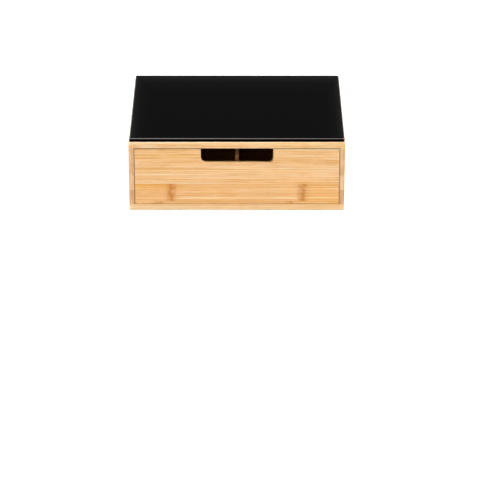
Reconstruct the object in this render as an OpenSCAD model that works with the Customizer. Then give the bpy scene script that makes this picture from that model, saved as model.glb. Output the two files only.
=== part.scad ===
// Capsule drawer stand: a bamboo box under a black glass pane, with one inset drawer
// that slides out to the front. Three dividers make four long bays for coffee capsules.
// Millimetres, +Z up. The front faces -Y. The origin is under the middle of the box, at
// the level that it stands on. The drawer is drawn closed.

/* [Box] */
// Width of the box across its front
box_w = 300; // [260:5:360]
// Depth of the box from front to back
box_d = 250; // [200:5:320]
// Height of the wooden box, from under the bottom board to the top of the top board
box_h = 102; // [90:1:130]
// Thickness of the top board
top_t = 9; // [8:0.5:14]
// Thickness of the bottom board
bottom_t = 9; // [8:0.5:14]
// Thickness of the two side panels
side_t = 7.2; // [6.5:0.1:10]
// Thickness of the back panel
back_t = 5; // [4:0.5:8]
// How far the back panel is let into the four pieces round it
back_rebate = 3; // [2:0.5:4]
// Eased arris along the outer edges of the box
box_ease = 0.8; // [0.4:0.1:1.2]

/* [Glass] */
// Thickness of the glass pane
glass_t = 4; // [3:0.5:5]
// Margin of the top board left bare round the pane
glass_margin = 1; // [0.5:0.5:10]
// Corner radius of the pane, seen from above
glass_corner_r = 3; // [3:0.5:10]
// Radius of the clear pads under the pane
pad_r = 6; // [4:0.5:10]
// Height of the clear pads, which is the gap under the pane
pad_h = 1.2; // [0.8:0.1:3]
// Distance from the pane's edges to the middle of each pad
pad_inset = 18; // [12:1:40]

/* [Feet] */
// Radius of the anti-slip feet
foot_r = 6; // [4:0.5:10]
// Height of the anti-slip feet
foot_h = 1.2; // [0.8:0.1:4]
// Distance from the box's sides to the middle of each foot
foot_inset = 16; // [12:1:40]
// Eased lower edge of the feet
foot_ease = 0.4; // [0.2:0.1:0.6]

/* [Drawer] */
// Thickness of the drawer front
front_t = 8; // [7:0.5:12]
// Thickness of the drawer's side walls
wall_t = 7; // [5.5:0.5:9]
// Thickness of the drawer's back wall
rear_t = 7; // [5:0.5:9]
// How far the back wall is let into the side walls
rear_rebate = 3; // [2:0.5:3.5]
// Thickness of the floor panel
floor_t = 3.5; // [3:0.5:5]
// Height of the floor panel's underside over the drawer's lower edge
floor_lift = 4; // [3:0.5:6]
// Depth of the grooves that hold the floor panel
floor_groove = 3; // [2:0.5:3.5]
// Eased arris along the drawer's bare edges
drawer_ease = 0.5; // [0.3:0.1:0.8]

/* [Drawer clearances] */
// Gap on each side of the drawer
side_gap = 0.7; // [0.4:0.1:1.5]
// Gap over the drawer
top_gap = 1.2; // [0.5:0.1:3]
// Running gap under the drawer
run_gap = 0.4; // [0.3:0.1:1]
// Gap behind the closed drawer
rear_gap = 1; // [0.5:0.5:5]
// Room for the floor panel to swell in its grooves
floor_slack = 0.3; // [0.1:0.1:1]

/* [Handle cut-out] */
// Width of the cut-out in the drawer front
grip_w = 100; // [80:1:130]
// Depth of the cut-out below the top of the drawer front
grip_h = 20.5; // [16:0.5:24]
// Radius of the cut-out's two lower corners
grip_r = 7; // [3:0.5:12]
// Eased edge round the cut-out, on both faces
grip_ease = 1.5; // [0.5:0.1:2.5]

/* [Dividers] */
// Distance from the middle of the centre divider to that of each outer one
divider_pitch = 62.7; // [50:0.1:70]
// Thickness of the left and the right divider
divider_t = 4; // [3:0.5:6]
// Thickness of the centre divider
centre_divider_t = 5; // [3:0.5:8]
// Depth of the dividers' tops below the drawer's upper edge
divider_drop = 12; // [4:1:18]
// Depth of the housings that hold the dividers' ends
divider_housing = 2; // [1:0.5:3]

/* [Dowels] */
// Radius of the dowels between the boards and the side panels
dowel_r = 2; // [1.5:0.25:2.5]
// Depth of these dowels in the top and bottom boards
board_bore = 6; // [4:0.5:7]
// Depth of these dowels in the ends of the side panels
panel_bore = 12; // [8:1:20]
// Radius of the dowels between the drawer front and its side walls
pin_r = 1.5; // [1:0.25:2]
// Depth of these dowels in the drawer front
front_bore = 5; // [3:0.5:5.5]
// Depth of these dowels in the ends of the side walls
wall_bore = 15; // [8:1:25]
// Room for glue round every dowel
glue_gap = 0.05; // [0.02:0.01:0.1]

/* [Hidden] */

$fn = 64;

// How far every cut runs past the face that it opens
overrun = 0.5;
// Places of the box's dowels along its depth, as shares of the depth
dowel_shares = [-0.36, 0, 0.36];
// Heights of the drawer's dowels, as shares of the drawer's height
pin_shares = [0.22, 0.5, 0.78];

bamboo = [0.90, 0.73, 0.49];
bamboo_inside = [0.82, 0.63, 0.38];
bamboo_pale = [0.95, 0.83, 0.62];
dowel_colour = [0.87, 0.78, 0.60];
black_glass = [0.03, 0.03, 0.03];
clear_pad = [0.85, 0.87, 0.88];

// Levels and lines of the box
board_z = foot_h;
run_z = board_z + bottom_t;
ceiling_z = board_z + box_h - top_t;
top_z = board_z + box_h;
front_y = -box_d / 2;
back_y = box_d / 2;
opening_w = box_w - 2 * side_t;
opening_h = ceiling_z - run_z;

// Pane
glass_w = box_w - 2 * glass_margin;
glass_d = box_d - 2 * glass_margin;
glass_z = top_z + pad_h;

// Drawer, closed
drawer_w = opening_w - 2 * side_gap;
drawer_z = run_z + run_gap;
drawer_top_z = ceiling_z - top_gap;
drawer_h = drawer_top_z - drawer_z;
inner_y = front_y + front_t;
drawer_back_y = back_y - back_t - rear_gap;
rear_y = drawer_back_y - rear_t;
wall_d = drawer_back_y - inner_y;
inner_w = drawer_w - 2 * wall_t;
inner_d = rear_y - inner_y;
floor_z = drawer_z + floor_lift;
floor_top_z = floor_z + floor_t;
grip_z = drawer_top_z - grip_h;

// Dividers
divider_h = drawer_top_z - divider_drop - floor_top_z;
tongue_h = min(divider_h, grip_z - grip_ease - floor_top_z);

// Outline of a rectangle whose corners are eased, counted from the lower left one
// anticlockwise; an ease of zero leaves the corner square
function eased_outline(w, h, eases) = [
    for (i = [0:3])
        let (
            e = eases[i],
            x = (i == 1 || i == 2) ? w : 0,
            y = (i > 1) ? h : 0,
            in_x = (x > 0) ? -e : e,
            in_y = (y > 0) ? -e : e,
            along_y = [x, y + in_y],
            along_x = [x + in_x, y]
        )
        each (e == 0 ? [[x, y]] : (i % 2 == 0 ? [along_y, along_x] : [along_x, along_y]))
];

// A board from its lowest corner. plan, front and side ease the corners of its outline
// seen from above, from the front and from the right.
module board(size, plan = [0, 0, 0, 0], front = [0, 0, 0, 0], side = [0, 0, 0, 0]) {
    intersection() {
        linear_extrude(size.z) polygon(eased_outline(size.x, size.y, plan));
        translate([0, size.y, 0])
            rotate([90, 0, 0])
                linear_extrude(size.y) polygon(eased_outline(size.x, size.z, front));
        rotate([90, 0, 90])
            linear_extrude(size.x) polygon(eased_outline(size.y, size.z, side));
    }
}

// The same thing at the four corners of a rectangle
module at_corners(half_x, half_y) {
    for (x = [-half_x, half_x])
        for (y = [-half_y, half_y])
            translate([x, y, 0]) children();
}

// Dowels of the box: three at each end of each side panel
module box_dowels(r) {
    for (x = [-1, 1] * (box_w - side_t) / 2)
        for (share = dowel_shares)
            for (z = [run_z - board_bore, ceiling_z - panel_bore])
                translate([x, share * box_d, z]) cylinder(h = board_bore + panel_bore, r = r);
}

// Dowels of the drawer: three at the front end of each side wall
module front_dowels(r) {
    for (x = [-1, 1] * (drawer_w - wall_t) / 2)
        for (share = pin_shares)
            translate([x, inner_y - front_bore, drawer_z + share * drawer_h])
                rotate([-90, 0, 0]) cylinder(h = front_bore + wall_bore, r = r);
}

// The back panel's own block, let into the rebates round it. run lengthens it rearward
// where it cuts those rebates.
module back_block(run) {
    translate([-opening_w / 2 - back_rebate, back_y - back_t, run_z - back_rebate])
        cube([opening_w + 2 * back_rebate, back_t + run, opening_h + 2 * back_rebate]);
}

// The drawer floor's block, short of the bottom of its grooves by slack
module floor_block(slack) {
    reach = floor_groove - slack;
    translate([-inner_w / 2 - reach, inner_y - reach, floor_z])
        cube([inner_w + 2 * reach, inner_d + 2 * reach, floor_t]);
}

// The back wall's block, let into the side walls. eases are those of its outline seen from
// the right, and run lengthens it rearward, upward and downward where it cuts rebates.
module rear_block(eases, run) {
    translate([-inner_w / 2 - rear_rebate, rear_y, drawer_z - run])
        board([inner_w + 2 * rear_rebate, rear_t + run, drawer_h + 2 * run], side = eases);
}

// The stub ends of a divider: the front one stays below the handle cut-out
module divider_tongues(x, t) {
    translate([x - t / 2, inner_y - divider_housing, floor_top_z])
        cube([t, 2 * divider_housing, tongue_h]);
    translate([x - t / 2, rear_y - divider_housing, floor_top_z])
        cube([t, 2 * divider_housing, divider_h - drawer_ease]);
}

module all_tongues() {
    divider_tongues(-divider_pitch, divider_t);
    divider_tongues(0, centre_divider_t);
    divider_tongues(divider_pitch, divider_t);
}

// The handle cut-out's outline as a solid that starts at y = 0 and runs back by depth.
// There its outline is the plain one, and at the start it is larger all round by grow.
module grip_solid(depth, grow) {
    half_w = grip_w / 2;
    corner_x = half_w - grip_r;
    rise = grip_h + overrun;
    translate([-corner_x, 0, 0])
        rotate([90, 0, 90])
            linear_extrude(2 * corner_x)
                polygon([[0, -grow], [depth, 0], [depth, rise], [0, rise]]);
    translate([0, 0, grip_r])
        linear_extrude(rise - grip_r)
            polygon([[-half_w - grow, 0], [half_w + grow, 0], [half_w, depth], [-half_w, depth]]);
    for (x = [-corner_x, corner_x])
        translate([x, 0, grip_r])
            rotate([-90, 0, 0]) cylinder(h = depth, r1 = grip_r + grow, r2 = grip_r);
}

// The whole cut-out: straight through, and flared at both faces of the drawer front
module grip_cut() {
    flare = grip_ease + overrun;
    translate([0, front_y + front_t / 2, grip_z])
        for (flip = [0, 1])
            mirror([0, flip, 0])
                translate([0, -front_t / 2 - overrun, 0]) {
                    grip_solid(front_t / 2 + 2 * overrun, 0);
                    grip_solid(flare, flare);
                }
}

// Glass pane with a rounded edge all round and rounded corners
module glass_top() {
    edge_r = glass_t / 2;
    half_w = glass_w / 2 - glass_corner_r;
    half_d = glass_d / 2 - glass_corner_r;
    reach = glass_corner_r - edge_r;
    color(black_glass)
        translate([0, 0, glass_z + edge_r]) {
            translate([-half_w, 0, 0])
                rotate([90, 0, 90]) linear_extrude(2 * half_w) pane_profile(half_d + reach, edge_r);
            translate([0, half_d, 0])
                rotate([90, 0, 0]) linear_extrude(2 * half_d) pane_profile(half_w + reach, edge_r);
            at_corners(half_w, half_d)
                rotate_extrude() {
                    translate([0, -edge_r]) square([reach, glass_t]);
                    intersection() {
                        translate([reach, 0]) circle(r = edge_r);
                        translate([0, -edge_r]) square([glass_corner_r, glass_t]);
                    }
                }
        }
}

// Cross-section of the pane: flat faces between two round edges
module pane_profile(half, r) {
    translate([-half, -r]) square([2 * half, 2 * r]);
    for (x = [-half, half])
        translate([x, 0]) circle(r = r);
}

// Clear pads that carry the pane and stop it sliding
module glass_pads() {
    color(clear_pad)
        translate([0, 0, top_z])
            at_corners(glass_w / 2 - pad_inset, glass_d / 2 - pad_inset)
                cylinder(h = pad_h, r = pad_r);
}

module top_board() {
    color(bamboo)
        difference() {
            translate([-box_w / 2, front_y, ceiling_z])
                board([box_w, box_d, top_t], plan = box_ease * [1, 1, 1, 1],
                      front = box_ease * [0, 0, 1, 1], side = box_ease * [0, 0, 1, 1]);
            back_block(overrun);
            box_dowels(dowel_r + glue_gap);
        }
}

module bottom_board() {
    color(bamboo)
        difference() {
            translate([-box_w / 2, front_y, board_z])
                board([box_w, box_d, bottom_t], plan = box_ease * [1, 1, 1, 1],
                      front = box_ease * [1, 1, 0, 0], side = box_ease * [1, 1, 0, 0]);
            back_block(overrun);
            box_dowels(dowel_r + glue_gap);
        }
}

// A side panel between the two boards; outer_eases are those of its plan
module side_panel(x, outer_eases) {
    color(bamboo)
        difference() {
            translate([x, front_y, run_z])
                board([side_t, box_d, opening_h], plan = box_ease * outer_eases);
            back_block(overrun);
            box_dowels(dowel_r + glue_gap);
        }
}

module left_side_panel() {
    side_panel(-box_w / 2, [1, 0, 0, 1]);
}

module right_side_panel() {
    side_panel(box_w / 2 - side_t, [0, 1, 1, 0]);
}

module back_panel() {
    color(bamboo) back_block(0);
}

module carcass_dowels() {
    color(dowel_colour) box_dowels(dowel_r);
}

// Anti-slip feet under the bottom board
module feet() {
    color(clear_pad)
        at_corners(box_w / 2 - foot_inset, box_d / 2 - foot_inset)
            rotate_extrude()
                polygon([[0, 0], [foot_r - foot_ease, 0], [foot_r, foot_ease],
                         [foot_r, foot_h], [0, foot_h]]);
}

module drawer_front() {
    color(bamboo)
        difference() {
            translate([-drawer_w / 2, front_y, drawer_z])
                board([drawer_w, front_t, drawer_h], plan = drawer_ease * [1, 1, 0, 0],
                      side = drawer_ease * [1, 0, 1, 1]);
            grip_cut();
            floor_block(0);
            all_tongues();
            front_dowels(pin_r + glue_gap);
        }
}

// A side wall from the drawer front to the drawer's back end
module drawer_wall(x) {
    color(bamboo_pale)
        difference() {
            translate([x, inner_y, drawer_z])
                board([wall_t, wall_d, drawer_h], front = drawer_ease * [0, 0, 1, 1]);
            rear_block([0, 0, 0, 0], overrun);
            floor_block(0);
            front_dowels(pin_r + glue_gap);
        }
}

module drawer_left_wall() {
    drawer_wall(-drawer_w / 2);
}

module drawer_right_wall() {
    drawer_wall(drawer_w / 2 - wall_t);
}

module drawer_back_wall() {
    color(bamboo_inside)
        difference() {
            rear_block(drawer_ease * [0, 0, 1, 1], 0);
            floor_block(0);
            all_tongues();
        }
}

module drawer_floor() {
    color(bamboo_inside) floor_block(floor_slack);
}

// A divider that stands on the floor panel, with its ends housed front and back
module divider(x, t) {
    color(bamboo_pale) {
        translate([x - t / 2, inner_y, floor_top_z])
            board([t, inner_d, divider_h], front = drawer_ease * [0, 0, 1, 1]);
        divider_tongues(x, t);
    }
}

module left_divider() {
    divider(-divider_pitch, divider_t);
}

module centre_divider() {
    divider(0, centre_divider_t);
}

module right_divider() {
    divider(divider_pitch, divider_t);
}

module drawer_dowels() {
    color(dowel_colour) front_dowels(pin_r);
}

glass_top();
glass_pads();
top_board();
bottom_board();
left_side_panel();
right_side_panel();
back_panel();
carcass_dowels();
feet();
drawer_front();
drawer_left_wall();
drawer_right_wall();
drawer_back_wall();
drawer_floor();
left_divider();
centre_divider();
right_divider();
drawer_dowels();
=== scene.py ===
"""Looks of the coffee capsule stand: bamboo boards, a black glass pane, clear pads and feet."""

import math
from collections import namedtuple

import bpy
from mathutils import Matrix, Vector


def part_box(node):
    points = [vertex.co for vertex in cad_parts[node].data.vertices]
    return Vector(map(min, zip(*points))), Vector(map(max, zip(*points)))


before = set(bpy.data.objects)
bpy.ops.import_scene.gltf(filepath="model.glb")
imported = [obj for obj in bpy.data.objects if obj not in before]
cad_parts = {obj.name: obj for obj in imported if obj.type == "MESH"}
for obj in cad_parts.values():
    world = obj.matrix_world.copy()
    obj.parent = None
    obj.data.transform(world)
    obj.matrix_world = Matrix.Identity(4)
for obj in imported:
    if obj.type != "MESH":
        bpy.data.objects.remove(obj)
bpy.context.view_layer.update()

MM = 0.001
AXES = {"X": 0, "Y": 1, "Z": 2}


def srgb(red, green, blue):
    """An sRGB colour of 0 to 255 as the linear colour that a shader takes. The numbers in it
    are those of the sRGB curve."""

    def linear(value):
        share = value / 255
        if share <= 0.04045:
            return share / 12.92
        return ((share + 0.055) / 1.055) ** 2.4

    return (linear(red), linear(green), linear(blue), 1.0)


# Camera, as the photograph's closed stand is seen
SENSOR_WIDTH = 36.0
LENS = 193.41
CAMERA_PLACE = (5.3 * MM, -3424.3 * MM, 1446.7 * MM)
CAMERA_DOWN = math.radians(24.326)
CAMERA_TURN = math.radians(0.0188)
CAMERA_REACH = 100.0

# In all that follows, cells are a noise's cells per metre, and octaves its layers of detail.
# A step is the pair of values between which something comes in. Where it has four numbers,
# the last two are the levels before and after it.

# Floor paper: half its side, its grey, its grain and the grain's strength, its roughness, how
# bright it is lifted for the camera, and the distances over which it fades to plain white
FLOOR_HALF = 14.0
FLOOR_GREY = 0.78
FLOOR_GRAIN_CELLS = 40.0
FLOOR_GRAIN = 0.01
FLOOR_ROUGHNESS = 0.9
FLOOR_LIFT = 0.65
FLOOR_FADE_STEP = (0.5, 1.5)

# World: greys that light the stand, from the front of the studio at 0 to the back at 1, and
# greys that glossy faces mirror, from the horizon at 0 to straight up at 1
LIGHTING_STOPS = ((0.2, 0.1), (0.8, 0.4))
MIRRORED_STOPS = ((0.10, 1.0), (0.24, 0.03), (0.70, 0.03), (0.95, 0.3))

# Soft boxes: a key high at the right, a faint one low in front, and one high behind. Each has
# its azimuth and elevation in degrees, its distance and its side in metres, and its strength.
LAMPS = {
    "key": (75, 61, 5.2, 2.0, 1.18),
    "front_fill": (-5, 7, 2.6, 0.6, 0.165),
    "back_fill": (215, 60, 2.6, 1.6, 0.5),
}
LAMP_AIM = Vector((0, 0, 60 * MM))

# Layers of bamboo fibre: cells along the grain and across it, octaves, and the weight of the
# layer in the wood's shade
FIBRE_LAYERS = {
    "broad": (1.5, 95.0, 1.0, 0.5),
    "medium": (1.5, 210.0, 0.0, 0.45),
    "streak": (1.2, 500.0, 1.0, 2.0),
    "dash": (40.0, 760.0, 1.0, 0.7),
    "fine": (60.0, 1900.0, 1.0, 0.7),
}
# The shades at which the fibres are dark, middle and pale, and the weight of a strip's tone
SHADE_PLACES = (0.1, 0.5, 0.9)
TONE_WEIGHT = 0.6
# Patches in which the lines of fibre come and go
PATCH_CELLS = (24.0, 120.0)
PATCH_OCTAVES = 3.0
PATCH_STEP = (0.3, 0.66, 0.2, 1.5)
# Thin golden threads
THREAD_CELLS = (4.0, 760.0)
THREAD_STEP = (0.46, 0.38, 0.0, 0.9)
# Short dark fibres seen close up, their strength, and how deep they lie in the relief
FLECK_CELLS = (80.0, 3200.0)
FLECK_STEP = (0.60, 0.74)
FLECK_SHARE = 0.25
FLECK_RELIEF = -0.5
# Bands of more golden and of pinker wood, and how far they change its saturation
HUE_CELLS = (6.0, 65.0)
HUE_OCTAVES = 2.0
HUE_RANGE = 0.3

# How far a strip's shift moves its grain along and through the board, so that no two match
SHIFT_ALONG = 3.7
SHIFT_THROUGH = 1.3
# How far the fibres waver to the side, and how much farther they bow beside a knuckle
WAVER = 0.15 * MM
WAVER_CELLS = 4.0
KNUCKLE_BOW = 1.2 * MM
BOW_CELLS = (45.0, 70.0)

# Distance between the knuckles of a cane, and where they start, as a share of it
CANE = 181 * MM
CANE_START = 0.5
# What the darker of the two kinds of wood between knuckles adds to the shade and saturation
DARKER_SHADE = -0.04
DARKER_SATURATION = 0.03
# Half lengths along the grain of a knuckle's core, of its edge and of the wood round it
KNUCKLE_CORE = 2.0 * MM
KNUCKLE_EDGE = 7.5 * MM
KNUCKLE_HALO = 15.0 * MM
# How strong the core and its blots are, and the wood round it, with what darker wood adds
CORE_SHARE = 0.3
BLOT_SHARE = 0.65
HALO_SHARE = 0.12
HALO_ADDED = 0.2
# A knuckle's bend along the grain
KNUCKLE_BEND = 5.0 * MM
BEND_CELLS = 60.0
# A knuckle's blots, and the place across the board at which their noise starts
BLOT_CELLS = (190.0, 210.0)
BLOT_START = 48.0
BLOT_OCTAVES = 2.0
BLOT_STEP = (0.4, 0.62)
# How far the knuckles show in the foremost strip of the flat boards
FRONT_KNUCKLES = 0.15

# Half width of a glue line between strips, and how strong it is
SEAM = 0.35 * MM
SEAM_SHARE = 0.25
# Dark skin along a strip's upper edge: its depth and softness, its patches, how strong it is,
# and what darker wood adds
SKIN_DEPTH = 4.2 * MM
SKIN_SOFT = 1.2 * MM
SKIN_CELLS = (9.0, 300.0)
SKIN_STEP = (0.2, 0.6, 0.7, 1.0)
SKIN_SHARE = 0.45
SKIN_ADDED = 0.55

# Painted highlight along the eased arrises, by how square a face is to an axis, and how strong
# it is
ARRIS_HIGHLIGHT_STEP = (0.97, 0.85)
ARRIS_HIGHLIGHT_SHARE = 0.12
# End grain, by how far a face looks along the grain: its plies, its pores, the weights of the
# pores and of a strip's tone, and where its shade goes from pale to dark
END_STEP = (0.55, 0.9)
PLY_CELLS = (45.0, 300.0)
PLY_OCTAVES = 2.0
PORE_CELLS = (1500.0, 1500.0)
PORE_WEIGHT = 0.35
END_TONE_WEIGHT = -0.45
END_DARK_STEP = (0.42, 0.72)
# Long edges in a paler colour, partly their own and partly painted highlight, by how far a
# face looks across the strips
RIM_STEP = (0.6, 0.9)
RIM_SHARE = 0.75
WALL_RIM_AND_HIGHLIGHT = srgb(240, 205, 160)

# Painted shadow on the board under the pane, a black patch where the gap under the pane's
# edge is in shade: the bare wood round it, its softness, its colour, and how far up a face
# looks to have it
GAP_SHADOW_MARGIN = 1.4 * MM
GAP_SHADOW_SOFT = 0.4 * MM
GAP_SHADOW = srgb(12, 11, 10)
GAP_SHADOW_STEP = (0.8, 0.95)
# Painted shade on the same board's downward faces, darker by how far down a face looks
UNDERSIDE_SHADE_STEP = (-0.8, -0.95, 0.0, 0.85)
UNDERSIDE_SHADE = srgb(104, 66, 28)

# Lacquer: its roughness and what fibres and end grain add, its specular level and what end
# grain adds, and the strength and depth of the fibres' relief
LACQUER_ROUGHNESS = 0.36
FIBRE_ROUGHNESS = 0.16
END_ROUGHNESS = 0.15
LACQUER_GLOSS = 0.4
END_GLOSS = -0.3
RELIEF_STRENGTH = 0.35
RELIEF_DEPTH = 0.08 * MM

# Wood colours: dark, middle and pale fibres, the knuckles, and the dark and pale end grain
Wood = namedtuple("Wood", "dark middle pale knuckle end_dark end_pale")
FRONT_WOOD = Wood(
    dark=srgb(235, 174, 100),
    middle=srgb(252, 202, 141),
    pale=srgb(255, 222, 172),
    knuckle=srgb(198, 114, 6),
    end_dark=srgb(196, 146, 98),
    end_pale=srgb(232, 188, 142),
)
BOX_WOOD = Wood(
    dark=srgb(244, 186, 116),
    middle=srgb(255, 209, 149),
    pale=srgb(255, 225, 178),
    knuckle=srgb(214, 146, 78),
    end_dark=srgb(204, 158, 112),
    end_pale=srgb(236, 194, 150),
)
BASE_WOOD = Wood(
    dark=srgb(242, 196, 136),
    middle=srgb(251, 212, 158),
    pale=srgb(255, 224, 176),
    knuckle=srgb(220, 158, 96),
    end_dark=srgb(204, 158, 112),
    end_pale=srgb(236, 194, 150),
)
SIDE_WOOD = Wood(
    dark=srgb(214, 156, 98),
    middle=srgb(232, 187, 133),
    pale=srgb(244, 209, 164),
    knuckle=srgb(202, 134, 72),
    end_dark=srgb(222, 172, 124),
    end_pale=srgb(246, 203, 156),
)
# Walls and dividers: darker wood, partly painted shade, with far darker end grain as painted
# shade
WALL_WOOD_AND_SHADE = Wood(
    dark=srgb(206, 150, 80),
    middle=srgb(222, 172, 100),
    pale=srgb(232, 192, 126),
    knuckle=srgb(186, 122, 54),
    end_dark=srgb(96, 62, 28),
    end_pale=srgb(130, 90, 46),
)
# Drawer's back wall and floor: darker, more saturated wood, partly painted shade
INSIDE_WOOD_AND_SHADE = Wood(
    dark=srgb(190, 138, 56),
    middle=srgb(208, 160, 76),
    pale=srgb(221, 182, 102),
    knuckle=srgb(180, 116, 44),
    end_dark=srgb(150, 108, 62),
    end_pale=srgb(190, 146, 92),
)
DOWEL_WOOD = Wood(
    dark=srgb(204, 168, 118),
    middle=srgb(222, 192, 146),
    pale=srgb(232, 208, 168),
    knuckle=srgb(190, 150, 100),
    end_dark=srgb(198, 162, 118),
    end_pale=srgb(226, 198, 154),
)

# The drawer front's strips from the lowest up: the share of the height at which each ends,
# its tone, the shift of its grain, and how far its knuckles and its dark skin show
FRONT_STRIPS = (
    (0.052, 0.05, 0.1, 0.7, 0.0),
    (0.37, 0.3, 0.0, 1.0, 1.0),
    (0.62, 0.52, 0.43, 0.0, 0.0),
    (1.0, 0.52, 0.71, 0.0, 0.0),
)
# The fixed rule that varies the strips of the other boards. Widths and tones follow a wave
# each, given by its reach and its steps from strip to strip and from seed to seed. The grain
# shifts by such steps too, and every third strip has weak knuckles.
WIDTH_WAVE = (0.1, 12.9, 4.1)
TONE_WAVE = (0.3, 2.3, 1.7)
SHIFT_STEPS = (0.618, 0.37)
WEAK_EVERY = 3
WEAK_KNUCKLES = 0.4
# The tone of the side panels' lowest strip
SIDE_LOWEST = 0.0

# Pane: painted light that glows in from its rear rim: how far it reaches, the share of that
# from its sides, and the pane's colours from the rim at 0 to the end of that reach at 1
GLOW_REACH = 70 * MM
GLOW_SIDE_SHARE = 1 / 3
PAINTED_GLOW_STOPS = (
    (0.0, srgb(40, 40, 40)),
    (0.16, srgb(21, 21, 21)),
    (0.45, srgb(10, 10, 10)),
    (1.0, srgb(5, 5, 5)),
)
# Painted shade: the darkest strip of the pane, by its depth behind the front rim
FRONT_SHADE_STEP = (6.0 * MM, 3.6 * MM)
FRONT_SHADE = srgb(1, 1, 1)
# Specks of dust on the pane
DUST_CELLS = 700.0
DUST_STEP = (0.70, 0.78, 0.0, 0.12)
DUST = srgb(70, 70, 72)
# The pane's round edge, by how far up it looks, and its colours from straight down at 0 to
# straight up at 1: black below and a painted highlight above the middle
EDGE_STEP = (0.995, 0.98)
EDGE_HIGHLIGHT_STOPS = (
    (0.66, srgb(1, 1, 1)),
    (0.76, srgb(44, 43, 42)),
    (0.82, srgb(104, 99, 95)),
    (0.92, srgb(104, 99, 95)),
    (0.97, srgb(4, 4, 4)),
)
# Smears on the pane, what they add to its roughness, and that roughness
SMEAR_CELLS = 14.0
SMEAR_OCTAVES = 3.0
SMEAR_DISTORTION = 0.6
SMEAR_ROUGHNESS = 0.06
GLASS_ROUGHNESS = 0.02
# The pane's specular level, by how far up it looks
GLASS_GLOSS_STEP = (0.2, 0.5, 0.0, 0.5)
GLASS_IOR = 1.5

# Clear silicone: its tints, its haze with what that adds to the roughness, and its relief
PAD_TINT = srgb(226, 230, 232)
FOOT_TINT = srgb(216, 220, 222)
HAZE = srgb(250, 250, 250)
HAZE_CELLS = 900.0
HAZE_OCTAVES = 2.0
HAZE_ROUGHNESS = 0.2
HAZE_STRENGTH = 0.3
HAZE_DEPTH = 0.1 * MM
SILICONE_ROUGHNESS = 0.22
SILICONE_IOR = 1.41
SILICONE_CLEARNESS = 0.7


class Nodes:
    """A node tree, with a short call for each kind of node used here."""

    def __init__(self, tree):
        self.tree = tree
        tree.nodes.clear()

    def add(self, kind, **settings):
        node = self.tree.nodes.new(kind)
        for key, value in settings.items():
            setattr(node, key, value)
        return node

    def link(self, source, target):
        self.tree.links.new(source, target)

    def feed(self, socket, value):
        """Links a socket to another, or sets it to a plain value."""
        if isinstance(value, bpy.types.NodeSocket):
            self.link(value, socket)
        else:
            socket.default_value = value

    def feed_all(self, sockets, values):
        for socket, value in zip(sockets, values):
            self.feed(socket, value)

    def math(self, operation, first, second=0.0, third=0.0):
        node = self.add("ShaderNodeMath", operation=operation)
        self.feed_all(node.inputs, (first, second, third))
        return node.outputs[0]

    def centred(self, value):
        """A value of 0 to 1 counted from its middle."""
        return self.math("SUBTRACT", value, 0.5)

    def vector(self, x, y, z):
        node = self.add("ShaderNodeCombineXYZ")
        self.feed_all(node.inputs, (x, y, z))
        return node.outputs[0]

    def grid(self, first, second, cells, third):
        """A place in a noise, from two places counted in cells and a number as it is."""
        return self.vector(
            self.math("MULTIPLY", first, cells[0]),
            self.math("MULTIPLY", second, cells[1]),
            third,
        )

    def split(self, vector):
        node = self.add("ShaderNodeSeparateXYZ")
        self.link(vector, node.inputs[0])
        return node.outputs

    def coordinates(self, output="Object"):
        return self.add("ShaderNodeTexCoord").outputs[output]

    def noise(self, vector, cells=1.0, octaves=2.0, distortion=0.0):
        node = self.add("ShaderNodeTexNoise")
        self.link(vector, node.inputs["Vector"])
        node.inputs["Scale"].default_value = cells
        node.inputs["Detail"].default_value = octaves
        node.inputs["Distortion"].default_value = distortion
        return node.outputs["Fac"]

    def smooth(self, value, low, high, to_low=0.0, to_high=1.0):
        """A smooth step of value from low to high."""
        node = self.add("ShaderNodeMapRange", interpolation_type="SMOOTHSTEP")
        self.feed_all(node.inputs, (value, low, high, to_low, to_high))
        return node.outputs[0]

    def ramp(self, value, stops, interpolation="LINEAR"):
        """A colour ramp through (place, colour) stops, which are in order of place."""
        node = self.add("ShaderNodeValToRGB")
        self.feed(node.inputs[0], value)
        node.color_ramp.interpolation = interpolation
        elements = node.color_ramp.elements
        elements.remove(elements[-1])
        elements[0].position, elements[0].color = stops[0]
        for place, colour in stops[1:]:
            elements.new(place).color = colour
        return node.outputs[0]

    def greys(self, value, stops):
        """A ramp through (place, grey) stops."""
        return self.ramp(value, [(place, (grey, grey, grey, 1)) for place, grey in stops])

    def mix(self, share, first, second):
        """From the first colour to the second. These are sockets 6 and 7 of a mix node."""
        node = self.add("ShaderNodeMix", data_type="RGBA")
        self.feed(node.inputs[0], share)
        self.feed(node.inputs[6], first)
        self.feed(node.inputs[7], second)
        return node.outputs[2]

    def paint(self, colour, over, mask, strength):
        """A colour with another over it, as far as a mask and a strength say."""
        return self.mix(self.math("MULTIPLY", mask, strength), colour, over)

    def saturate(self, strength, colour):
        """A colour with its saturation multiplied by strength."""
        node = self.add("ShaderNodeHueSaturation")
        self.feed(node.inputs["Saturation"], strength)
        self.feed(node.inputs["Color"], colour)
        return node.outputs[0]


class Material(Nodes):
    """A material's nodes, which all lead to one shader."""

    def __init__(self, name):
        self.material = bpy.data.materials.new(name)
        self.material.use_nodes = True
        super().__init__(self.material.node_tree)
        self.shader = self.add("ShaderNodeBsdfPrincipled")
        output = self.add("ShaderNodeOutputMaterial")
        self.link(self.shader.outputs[0], output.inputs["Surface"])

    def shade(self, name, value):
        """Feeds one of the shader's sockets."""
        self.feed(self.shader.inputs[name], value)

    def bump(self, height, strength, distance):
        node = self.add("ShaderNodeBump")
        node.inputs["Strength"].default_value = strength
        node.inputs["Distance"].default_value = distance
        self.link(height, node.inputs["Height"])
        self.shade("Normal", node.outputs[0])


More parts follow.
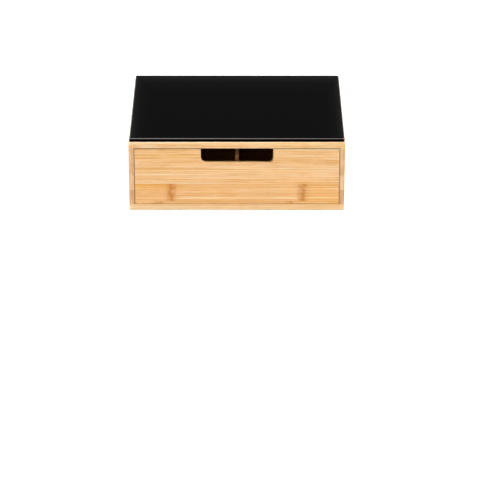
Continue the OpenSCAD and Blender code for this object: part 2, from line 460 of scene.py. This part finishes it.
class Strips:
    """The glued strips of a bamboo board: their edges across the board, and for each strip
    its tone from 0 dark to 1 pale, the shift of its grain, how far its knuckles show, and
    how dark the cane's skin is along its upper edge."""

    def __init__(self, edges, tones, shifts, knuckles, skins=()):
        self.edges = edges
        self.tones = tones
        self.shifts = shifts
        self.knuckles = knuckles
        self.skins = skins

    def share(self, edge):
        return (edge - self.edges[0]) / (self.edges[-1] - self.edges[0])

    def stops(self):
        """Stops that hold each strip's tone, shift and knuckles as red, green and blue."""
        looks = zip(self.edges, self.tones, self.shifts, self.knuckles)
        return [(self.share(edge), (*levels, 1)) for edge, *levels in looks]

    def seam_stops(self):
        """Stops that are white on the glue lines between the strips."""
        stops = [(0.0, (0, 0, 0, 1))]
        for edge in self.edges[1:-1]:
            for offset, level in ((-SEAM, 0), (0, 1), (SEAM, 0)):
                stops.append((self.share(edge + offset), (level, level, level, 1)))
        return stops

    def skin_stops(self):
        """Stops that are white along the upper edges of the strips with a dark skin."""
        stops = [(0.0, (0, 0, 0, 1))]
        for edge, skin in zip(self.edges[1:], self.skins):
            rise = (edge - SKIN_DEPTH, edge - SKIN_DEPTH + SKIN_SOFT, edge - SKIN_SOFT, edge)
            for place, level in zip(rise, (0, skin, skin, 0)):
                stops.append((self.share(place), (level, level, level, 1)))
        return stops


def wave(strip, seed, reach, strip_step, seed_step):
    """A strip's share of a range, by a fixed rule."""
    return reach * math.sin(strip_step * strip + seed_step * seed)


def even_strips(low, high, count, seed):
    """A board of count strips of about one width, varied by a fixed rule from seed."""
    width = (high - low) / count
    strip_step, seed_step = SHIFT_STEPS
    edges = [low + width * i for i in range(count + 1)]
    for i in range(1, count):
        edges[i] += width * wave(i, seed, *WIDTH_WAVE)
    tones = [0.5 + wave(i, seed, *TONE_WAVE) for i in range(count)]
    shifts = [(strip_step * (i + 1) + seed_step * seed) % 1 for i in range(count)]
    knuckles = [1.0 if (i + seed) % WEAK_EVERY else WEAK_KNUCKLES for i in range(count)]
    return Strips(edges, tones, shifts, knuckles)


class Board(Material):
    """A bamboo board's material in the making. u runs along the grain, v across the strips
    and w through the board, all as places in the shared frame."""

    def __init__(self, name, grain, across, strips):
        super().__init__(name)
        through = (set(AXES) - {grain, across}).pop()
        self.grain = AXES[grain]
        self.across = AXES[across]
        self.place = self.split(self.coordinates())
        self.u = self.place[self.grain]
        self.v = self.place[self.across]
        self.w = self.place[AXES[through]]
        self.normal = self.split(self.coordinates("Normal"))
        self.faces = [self.math("ABSOLUTE", self.normal[axis]) for axis in AXES.values()]
        low, high = strips.edges[0], strips.edges[-1]
        share = self.math("DIVIDE", self.math("SUBTRACT", self.v, low), high - low)
        looks = self.split(self.ramp(share, strips.stops(), "CONSTANT"))
        self.tone, self.shift, self.knuckle_share = looks
        self.seam = self.ramp(share, strips.seam_stops())
        self.skin = self.ramp(share, strips.skin_stops()) if strips.skins else None
        self.set_cane()
        self.set_waver()

    def set_cane(self):
        """Place along the cane counted from its nearest knuckle, and which of two kinds of
        wood lies there, since the wood changes a little at each knuckle."""
        start = self.math("MULTIPLY_ADD", self.shift, CANE, CANE_START * CANE)
        cane = self.math("ADD", self.u, start)
        self.along = self.math("WRAP", cane, CANE / 2, -CANE / 2)
        self.near = self.math("ABSOLUTE", self.along)
        number = self.math("FLOOR", self.math("DIVIDE", cane, CANE))
        kind = self.math("PINGPONG", number, 1.0)
        self.darker = self.math("MULTIPLY", kind, self.knuckle_share)

    def set_waver(self):
        """Each strip's own grain, which wavers a little along it and more at a knuckle."""
        self.u_strip = self.math("MULTIPLY_ADD", self.shift, SHIFT_ALONG, self.u)
        self.w_strip = self.math("MULTIPLY_ADD", self.shift, SHIFT_THROUGH, self.w)
        place = self.vector(self.math("MULTIPLY", self.u_strip, WAVER_CELLS), self.shift, 0.0)
        waver = self.centred(self.noise(place, octaves=1.0))
        place = self.grid(self.u_strip, self.v, BOW_CELLS, self.shift)
        bow = self.centred(self.noise(place, octaves=0.0))
        bow = self.math("MULTIPLY", bow, self.smooth(self.near, KNUCKLE_HALO, 0.0))
        self.v_wavy = self.math("MULTIPLY_ADD", waver, WAVER, self.v)
        self.v_wavy = self.math("MULTIPLY_ADD", bow, KNUCKLE_BOW, self.v_wavy)

    def fibres(self, along_cells, over_cells, octaves=1.0):
        """Noise stretched along the grain, by its cells along and over it."""
        depth = self.math("MULTIPLY", self.w_strip, over_cells)
        place = self.grid(self.u_strip, self.v_wavy, (along_cells, over_cells), depth)
        return self.noise(place, octaves=octaves)

    def add_fibres(self, wood):
        """Fibres from dark to pale, with threads, flecks and the glue lines."""
        shade = self.math("MULTIPLY_ADD", self.centred(self.tone), TONE_WEIGHT, 0.5)
        shade = self.math("MULTIPLY_ADD", self.darker, DARKER_SHADE, shade)
        patches = self.smooth(self.fibres(*PATCH_CELLS, PATCH_OCTAVES), *PATCH_STEP)
        self.layers = {}
        for layer, (along_cells, over_cells, octaves, weight) in FIBRE_LAYERS.items():
            noise = self.fibres(along_cells, over_cells, octaves)
            self.layers[layer] = noise
            lines = self.math("MULTIPLY", self.centred(noise), patches)
            shade = self.math("MULTIPLY_ADD", lines, weight, shade)
        shades = (wood.dark, wood.middle, wood.pale)
        colour = self.ramp(shade, list(zip(SHADE_PLACES, shades)))
        threads = self.smooth(self.fibres(*THREAD_CELLS), *THREAD_STEP)
        colour = self.paint(colour, wood.dark, threads, patches)
        self.fleck = self.smooth(self.fibres(*FLECK_CELLS), *FLECK_STEP)
        colour = self.paint(colour, wood.knuckle, self.fleck, FLECK_SHARE)
        return self.paint(colour, wood.dark, self.seam, SEAM_SHARE)

    def add_skin(self, wood, colour):
        """The cane's dark skin, darkest where the wood is darker too."""
        patches = self.smooth(self.fibres(*SKIN_CELLS), *SKIN_STEP)
        skin = self.math("MULTIPLY", self.skin, patches)
        strength = self.math("MULTIPLY_ADD", self.darker, SKIN_ADDED, SKIN_SHARE)
        return self.paint(colour, wood.dark, skin, strength)

    def add_hue(self, colour):
        """Bands of more golden and of pinker wood."""
        golden = self.centred(self.fibres(*HUE_CELLS, HUE_OCTAVES))
        strength = self.math("MULTIPLY_ADD", golden, HUE_RANGE, 1.0)
        strength = self.math("MULTIPLY_ADD", self.darker, DARKER_SATURATION, strength)
        return self.saturate(strength, colour)

    def add_knuckles(self, wood, colour):
        """Soft brown blots across the strip, in wood that is a little darker."""
        halo = self.smooth(self.near, KNUCKLE_HALO, KNUCKLE_CORE)
        halo = self.math("MULTIPLY", halo, self.knuckle_share)
        strength = self.math("MULTIPLY_ADD", self.darker, HALO_ADDED, HALO_SHARE)
        colour = self.paint(colour, wood.knuckle, halo, strength)
        place = self.vector(self.math("MULTIPLY", self.v, BEND_CELLS), self.shift, 0.0)
        bend = self.centred(self.noise(place, octaves=1.0))
        off = self.math("ABSOLUTE", self.math("MULTIPLY_ADD", bend, KNUCKLE_BEND, self.along))
        core = self.smooth(off, KNUCKLE_EDGE, KNUCKLE_CORE)
        core = self.math("MULTIPLY", core, self.knuckle_share)
        colour = self.paint(colour, wood.knuckle, core, CORE_SHARE)
        along_cells, over_cells = BLOT_CELLS
        place = self.vector(
            self.math("MULTIPLY", self.u_strip, along_cells),
            self.math("MULTIPLY_ADD", self.v, over_cells, BLOT_START),
            self.math("MULTIPLY", self.w_strip, over_cells),
        )
        blots = self.smooth(self.noise(place, octaves=BLOT_OCTAVES), *BLOT_STEP)
        blots = self.math("MULTIPLY", core, blots)
        return self.paint(colour, wood.knuckle, blots, BLOT_SHARE)

    def add_arris_highlight(self, wood, colour):
        """Eased arrises a little paler, as a painted highlight."""
        x, y, z = self.faces
        squareness = self.math("MAXIMUM", x, self.math("MAXIMUM", y, z))
        return self.paint(colour, wood.pale, self.smooth(squareness, *ARRIS_HIGHLIGHT_STEP), ARRIS_HIGHLIGHT_SHARE)

    def add_end_grain(self, wood, colour):
        """Faces across the fibres show the plies and pores of the end grain."""
        self.end = self.smooth(self.faces[self.grain], *END_STEP)
        place = self.grid(self.v, self.w, PLY_CELLS, self.math("SIGN", self.u))
        grained = self.noise(place, octaves=PLY_OCTAVES)
        place = self.grid(self.v, self.w, PORE_CELLS, self.shift)
        pores = self.centred(self.noise(place, octaves=1.0))
        grained = self.math("MULTIPLY_ADD", pores, PORE_WEIGHT, grained)
        grained = self.math("MULTIPLY_ADD", self.centred(self.tone), END_TONE_WEIGHT, grained)
        ends = self.mix(self.smooth(grained, *END_DARK_STEP), wood.end_pale, wood.end_dark)
        return self.mix(self.end, colour, ends)

    def add_rim_and_highlight(self, rim, colour):
        """The board's long edges paler, partly their own colour and partly painted highlight.
        """
        long_edge = self.smooth(self.faces[self.across], *RIM_STEP)
        return self.paint(colour, rim, long_edge, RIM_SHARE)

    def add_gap_shadow_and_underside_shade(self, gap_shadow, colour):
        """Painted shadow: a black patch on top, by its half lengths, and painted shade making
        the faces underneath darker.
        """
        room = [
            self.math("SUBTRACT", half, self.math("ABSOLUTE", self.place[axis]))
            for axis, half in enumerate(gap_shadow)
        ]
        gap_shadow_mask = self.smooth(self.math("MINIMUM", *room), 0.0, GAP_SHADOW_SOFT)
        gap_shadow_mask = self.math("MULTIPLY", gap_shadow_mask, self.smooth(self.normal[2], *GAP_SHADOW_STEP))
        underside_shade_mask = self.smooth(self.normal[2], *UNDERSIDE_SHADE_STEP)
        return self.mix(underside_shade_mask, self.mix(gap_shadow_mask, colour, GAP_SHADOW), UNDERSIDE_SHADE)

    def finish(self, colour):
        """Lacquer over the colour, with a faint relief of fibres."""
        rough = self.math(
            "MULTIPLY_ADD", self.layers["streak"], FIBRE_ROUGHNESS, LACQUER_ROUGHNESS
        )
        rough = self.math("MULTIPLY_ADD", self.end, END_ROUGHNESS, rough)
        gloss = self.math("MULTIPLY_ADD", self.end, END_GLOSS, LACQUER_GLOSS)
        flecks = self.math("MULTIPLY", self.fleck, FLECK_RELIEF)
        relief = self.math("ADD", self.layers["fine"], flecks)
        self.shade("Base Color", colour)
        self.shade("Roughness", rough)
        self.shade("Specular IOR Level", gloss)
        self.bump(relief, RELIEF_STRENGTH, RELIEF_DEPTH)
        return self.material


def bamboo(name, grain, across, strips, wood, rim=None, gap_shadow=None):
    """Lacquered bamboo whose fibres run along one axis, glued of strips across another. rim
    is a colour for the board's long edges, partly painted highlight, and the last argument
    the half lengths of a black patch of painted shadow."""
    board = Board(name, grain, across, strips)
    colour = board.add_fibres(wood)
    if board.skin:
        colour = board.add_skin(wood, colour)
    colour = board.add_hue(colour)
    colour = board.add_knuckles(wood, colour)
    colour = board.add_arris_highlight(wood, colour)
    colour = board.add_end_grain(wood, colour)
    if rim:
        colour = board.add_rim_and_highlight(rim, colour)
    if gap_shadow:
        colour = board.add_gap_shadow_and_underside_shade(gap_shadow, colour)
    return board.finish(colour)


def pane_face(pane, place):
    """The pane's face: painted light glowing in at its rear and sides, dust, and painted shade
    darkening its front.
    """
    low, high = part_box("glass_top")
    behind = pane.math("SUBTRACT", high.y, place[1])
    beside = pane.math("SUBTRACT", high.x, pane.math("ABSOLUTE", place[0]))
    inward = pane.math("MINIMUM", behind, pane.math("DIVIDE", beside, GLOW_SIDE_SHARE))
    face = pane.ramp(pane.math("DIVIDE", inward, GLOW_REACH), PAINTED_GLOW_STOPS)
    dust = pane.noise(pane.coordinates(), DUST_CELLS, octaves=1.0)
    face = pane.mix(pane.smooth(dust, *DUST_STEP), face, DUST)
    inside_front = pane.math("SUBTRACT", place[1], low.y)
    return pane.mix(pane.smooth(inside_front, *FRONT_SHADE_STEP), face, FRONT_SHADE)


def black_glass():
    """Polished pane painted black underneath, with painted light glowing in at its rear and
    side rims, and a painted highlight on the upper half of its round edge, which is black
    below."""
    pane = Material("black_glass")
    face = pane_face(pane, pane.split(pane.coordinates()))
    upward = pane.split(pane.coordinates("Normal"))[2]
    # Painted highlight on the upper half of the round edge, black below
    edge = pane.ramp(pane.math("MULTIPLY_ADD", upward, 0.5, 0.5), EDGE_HIGHLIGHT_STOPS)
    pane.shade("Base Color", pane.mix(pane.smooth(upward, *EDGE_STEP), face, edge))
    smears = pane.noise(pane.coordinates(), SMEAR_CELLS, SMEAR_OCTAVES, SMEAR_DISTORTION)
    rough = pane.math("MULTIPLY_ADD", smears, SMEAR_ROUGHNESS, GLASS_ROUGHNESS)
    pane.shade("Roughness", rough)
    pane.shade("Specular IOR Level", pane.smooth(upward, *GLASS_GLOSS_STEP))
    pane.shade("IOR", GLASS_IOR)
    return pane.material


def clear_silicone(name, tint):
    """Clear soft pad with a faint haze."""
    pad = Material(name)
    haze = pad.noise(pad.coordinates(), HAZE_CELLS, HAZE_OCTAVES)
    pad.shade("Base Color", pad.mix(haze, tint, HAZE))
    pad.shade("Roughness", pad.math("MULTIPLY_ADD", haze, HAZE_ROUGHNESS, SILICONE_ROUGHNESS))
    pad.shade("IOR", SILICONE_IOR)
    pad.shade("Transmission Weight", SILICONE_CLEARNESS)
    pad.bump(haze, HAZE_STRENGTH, HAZE_DEPTH)
    return pad.material


def give(node, material):
    """Puts one material on a CAD node."""
    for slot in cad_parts[node].material_slots:
        slot.link = "OBJECT"
        slot.material = material


def panel(node, grain, across, wood, count, seed, lowest=None, rim=None, gap_shadow=None):
    """Dresses a board in bamboo of count strips. lowest is the tone of the first of them."""
    low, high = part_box(node)
    axis = AXES[across]
    strips = even_strips(low[axis], high[axis], count, seed)
    if across == "Y":
        strips.knuckles[0] = FRONT_KNUCKLES
    if lowest is not None:
        strips.tones[0] = lowest
    give(node, bamboo("bamboo_" + node, grain, across, strips, wood, rim, gap_shadow))


def dress_box():
    """Materials of the box."""
    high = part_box("top_board")[1]
    # Painted shadow: a black patch on the top board where the gap under the pane's edge is in
    # shade
    gap_shadow = (high.x - GAP_SHADOW_MARGIN, high.y - GAP_SHADOW_MARGIN)
    panel("top_board", "X", "Y", BOX_WOOD, count=10, seed=1, gap_shadow=gap_shadow)
    panel("bottom_board", "X", "Y", BASE_WOOD, count=10, seed=2)
    panel("left_side_panel", "Y", "Z", SIDE_WOOD, count=4, seed=3, lowest=SIDE_LOWEST)
    panel("right_side_panel", "Y", "Z", SIDE_WOOD, count=4, seed=3, lowest=SIDE_LOWEST)
    panel("back_panel", "X", "Z", BOX_WOOD, count=4, seed=5)


def dress_pane():
    """Materials of the pane, its pads and the feet."""
    give("glass_top", black_glass())
    give("glass_pads", clear_silicone("pad_silicone", PAD_TINT))
    give("feet", clear_silicone("foot_silicone", FOOT_TINT))


def dress_drawer_front():
    """The front's four strips: a thin one below, and knuckles only in the two lowest."""
    low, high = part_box("drawer_front")
    tops, tones, shifts, knuckles, skins = zip(*FRONT_STRIPS)
    edges = [low.z + share * (high.z - low.z) for share in (0.0, *tops)]
    strips = Strips(edges, tones, shifts, knuckles, skins)
    give("drawer_front", bamboo("bamboo_front", "X", "Z", strips, FRONT_WOOD))


def dress_drawer():
    """Materials of the drawer."""
    dress_drawer_front()
    walls = (
        "drawer_left_wall",
        "drawer_right_wall",
        "left_divider",
        "centre_divider",
        "right_divider",
    )
    # Walls and dividers: darker wood partly painted shade, far darker end grain painted shade,
    # and paler long edges partly painted highlight
    for seed, node in enumerate(walls, start=6):
        panel(node, "Y", "Z", WALL_WOOD_AND_SHADE, count=3, seed=seed, rim=WALL_RIM_AND_HIGHLIGHT)
    # Back wall and floor in darker wood, partly painted shade
    panel("drawer_back_wall", "X", "Z", INSIDE_WOOD_AND_SHADE, count=3, seed=11)
    panel("drawer_floor", "X", "Y", INSIDE_WOOD_AND_SHADE, count=9, seed=12)


def dress_dowels():
    """Bare dowels, hidden in the joints."""
    panel("carcass_dowels", "Z", "X", DOWEL_WOOD, count=2, seed=13)
    panel("drawer_dowels", "Y", "Z", DOWEL_WOOD, count=2, seed=14)


def floor_paper():
    """Paper that fades to plain white away from the stand, and is lifted for the camera."""
    paper = Material("floor_paper")
    place = paper.coordinates()
    away = paper.add("ShaderNodeVectorMath", operation="LENGTH")
    paper.link(place, away.inputs[0])
    far = paper.smooth(away.outputs["Value"], *FLOOR_FADE_STEP)
    grain = paper.noise(place, FLOOR_GRAIN_CELLS)
    level = paper.math("MULTIPLY_ADD", grain, FLOOR_GRAIN, FLOOR_GREY)
    level = paper.math("MULTIPLY", level, paper.math("SUBTRACT", 1.0, far))
    grey = paper.add("ShaderNodeCombineColor")
    paper.feed_all(grey.inputs, (level, level, level))
    paper.shade("Base Color", grey.outputs[0])
    paper.shade("Roughness", FLOOR_ROUGHNESS)
    paper.shade("Specular IOR Level", 0.0)
    rays = paper.add("ShaderNodeLightPath").outputs
    seen = paper.math("MAXIMUM", rays["Is Camera Ray"], rays["Is Glossy Ray"])
    seen = paper.math("MAXIMUM", seen, rays["Is Transmission Ray"])
    lift = paper.math("MULTIPLY_ADD", far, 1.0 - FLOOR_LIFT, FLOOR_LIFT)
    paper.shade("Emission Color", (1, 1, 1, 1))
    paper.shade("Emission Strength", paper.math("MULTIPLY", seen, lift))
    return paper.material


def floor():
    """Pale floor that shows white to the camera and keeps the stand's shadow."""
    bpy.ops.mesh.primitive_plane_add(size=2 * FLOOR_HALF, location=(0, 0, 0))
    plane = bpy.context.object
    plane.name = "floor"
    plane.data.materials.append(floor_paper())


def studio_world():
    """White to the camera. What glossy faces mirror is white near the horizon and dim above,
    and what lights the stand is dim in front and brighter behind."""
    world = bpy.data.worlds.new("studio")
    bpy.context.scene.world = world
    world.use_nodes = True
    studio = Nodes(world.node_tree)
    ways = studio.split(studio.coordinates("Generated"))
    back = studio.math("MULTIPLY_ADD", ways[1], 0.5, 0.5)
    lighting = studio.greys(back, LIGHTING_STOPS)
    mirrored = studio.greys(ways[2], MIRRORED_STOPS)
    rays = studio.add("ShaderNodeLightPath").outputs
    colour = studio.mix(rays["Is Glossy Ray"], lighting, mirrored)
    colour = studio.mix(rays["Is Camera Ray"], colour, (1, 1, 1, 1))
    background = studio.add("ShaderNodeBackground")
    studio.link(colour, background.inputs["Color"])
    output = studio.add("ShaderNodeOutputWorld")
    studio.link(background.outputs[0], output.inputs["Surface"])


def lamp(name, azimuth, elevation, distance, size, strength):
    """A square soft box that looks at the stand. Azimuth 0 is in front and 90 at the right,
    and a face square to a strength of 1 shows its colour as it is written."""
    turn, rise = math.radians(azimuth), math.radians(elevation)
    flat = math.cos(rise)
    way = Vector((math.sin(turn) * flat, -math.cos(turn) * flat, math.sin(rise)))
    light = bpy.data.lights.new(name, "AREA")
    light.shape = "SQUARE"
    light.size = size
    light.energy = strength * (math.pi * distance) ** 2
    obj = bpy.data.objects.new(name, light)
    bpy.context.scene.collection.objects.link(obj)
    obj.location = LAMP_AIM + way * distance
    obj.rotation_euler = way.to_track_quat("Z", "Y").to_euler()


def camera():
    """The photograph's view of the closed stand."""
    data = bpy.data.cameras.new("camera")
    data.sensor_width = SENSOR_WIDTH
    data.lens = LENS
    data.clip_end = CAMERA_REACH
    obj = bpy.data.objects.new("camera", data)
    bpy.context.scene.collection.objects.link(obj)
    obj.location = CAMERA_PLACE
    obj.rotation_euler = (math.pi / 2 - CAMERA_DOWN, 0, CAMERA_TURN)
    bpy.context.scene.camera = obj


scene = bpy.context.scene
scene.view_settings.view_transform = "Standard"
camera()
dress_box()
dress_pane()
dress_drawer()
dress_dowels()
floor()
studio_world()
for name, settings in LAMPS.items():
    lamp(name, *settings)
